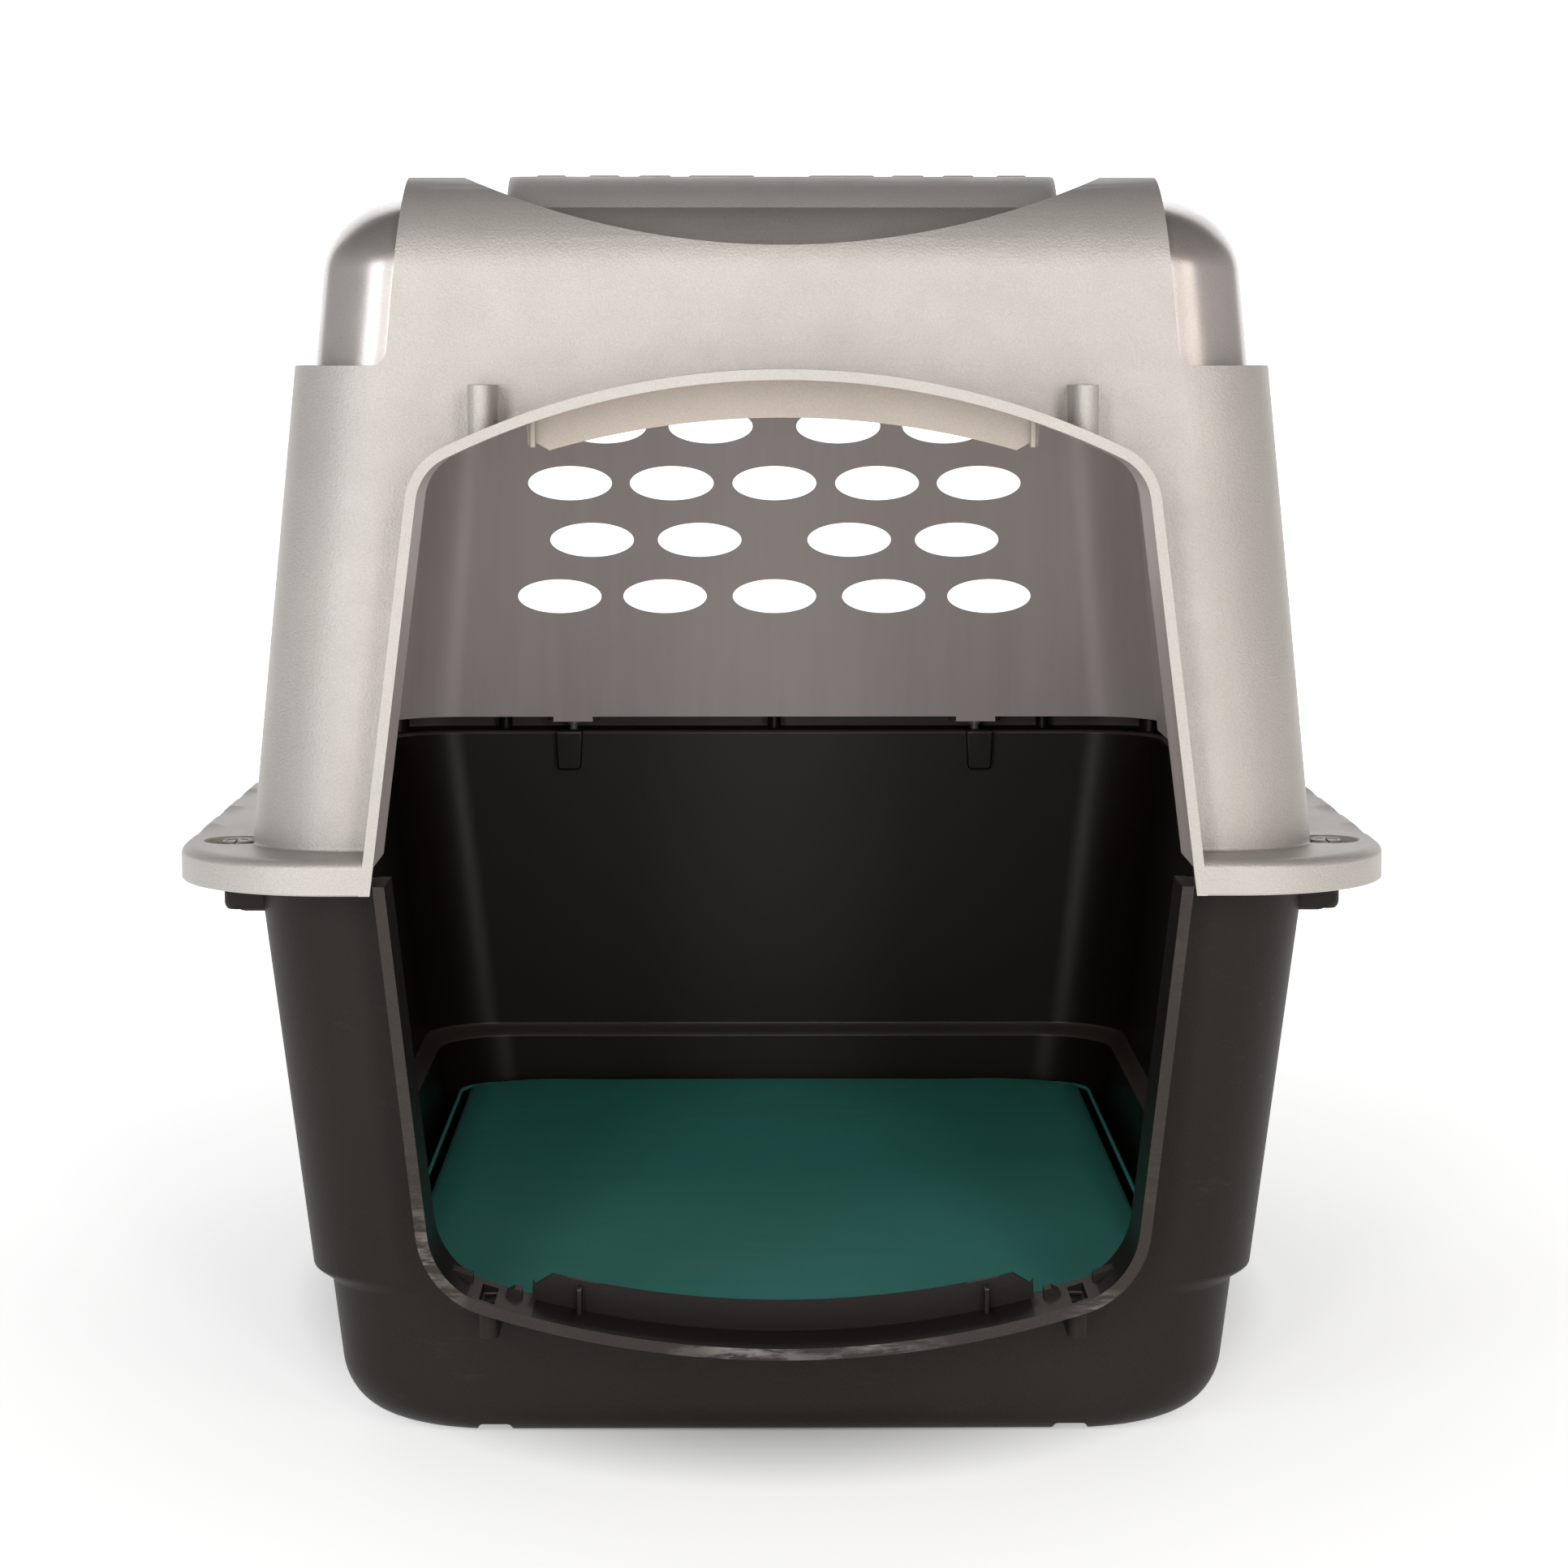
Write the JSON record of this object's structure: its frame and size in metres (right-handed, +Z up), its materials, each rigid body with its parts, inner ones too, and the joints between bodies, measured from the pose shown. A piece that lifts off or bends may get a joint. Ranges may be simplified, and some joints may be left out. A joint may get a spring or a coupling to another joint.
{
  "type": "hooded cat litter box",
  "caption": "Two-piece moulded cat cabin with a deep base tray, a vented hood with an open arched doorway, a loose floor mat and quarter-turn rim fasteners.",
  "frame": {"origin": "on the ground under the middle of the object's bounding box", "axes": "+Z up, the doorway faces -Y, +X to the right of someone looking in through the doorway"},
  "size_m": [0.524, 0.711, 0.548],
  "materials": {
    "base_plastic": "dark brown satin moulded plastic, scuffed along the sill",
    "hood_plastic": "pearl taupe moulded plastic, fine grain on the frames and smooth gloss between them",
    "mat_vinyl": "teal green coated cloth over foam, satin",
    "fastener_plastic": "taupe moulded plastic, satin"
  },
  "bodies": {
    "base": {"base_shell": "base_plastic"},
    "hood": {"hood_shell": "hood_plastic"},
    "mat": {"floor_mat": "mat_vinyl"},
    "turn_left_front": {"fastener_left_front": "fastener_plastic"},
    "turn_left_middle": {"fastener_left_middle": "fastener_plastic"},
    "turn_left_rear": {"fastener_left_rear": "fastener_plastic"},
    "turn_right_front": {"fastener_right_front": "fastener_plastic"},
    "turn_right_middle": {"fastener_right_middle": "fastener_plastic"},
    "turn_right_rear": {"fastener_right_rear": "fastener_plastic"},
    "turn_rear_left": {"fastener_rear_left": "fastener_plastic"},
    "turn_rear_right": {"fastener_rear_right": "fastener_plastic"}
  },
  "joints": [
    {"name": "hood_lift", "type": "slide", "parent": "base", "child": "hood", "axis": [0, 0, 1], "range_m": [0, 0.3]},
    {"name": "mat_lift", "type": "slide", "parent": "base", "child": "mat", "axis": [0, 0, 1], "range_m": [0, 0.24]},
    {"name": "lock_left_front", "type": "hinge", "parent": "hood", "child": "turn_left_front", "pos_m": [-0.2385, -0.284, 0.257], "axis": [0, 0, -1], "range_deg": [0, 90]},
    {"name": "lock_left_middle", "type": "hinge", "parent": "hood", "child": "turn_left_middle", "pos_m": [-0.2385, 0, 0.257], "axis": [0, 0, -1], "range_deg": [0, 90]},
    {"name": "lock_left_rear", "type": "hinge", "parent": "hood", "child": "turn_left_rear", "pos_m": [-0.2385, 0.284, 0.257], "axis": [0, 0, -1], "range_deg": [0, 90]},
    {"name": "lock_right_front", "type": "hinge", "parent": "hood", "child": "turn_right_front", "pos_m": [0.2385, -0.284, 0.257], "axis": [0, 0, -1], "range_deg": [0, 90]},
    {"name": "lock_right_middle", "type": "hinge", "parent": "hood", "child": "turn_right_middle", "pos_m": [0.2385, 0, 0.257], "axis": [0, 0, -1], "range_deg": [0, 90]},
    {"name": "lock_right_rear", "type": "hinge", "parent": "hood", "child": "turn_right_rear", "pos_m": [0.2385, 0.284, 0.257], "axis": [0, 0, -1], "range_deg": [0, 90]},
    {"name": "lock_rear_left", "type": "hinge", "parent": "hood", "child": "turn_rear_left", "pos_m": [-0.12, 0.3325, 0.257], "axis": [0, 0, -1], "range_deg": [0, 90]},
    {"name": "lock_rear_right", "type": "hinge", "parent": "hood", "child": "turn_rear_right", "pos_m": [0.12, 0.3325, 0.257], "axis": [0, 0, -1], "range_deg": [0, 90]}
  ]
}
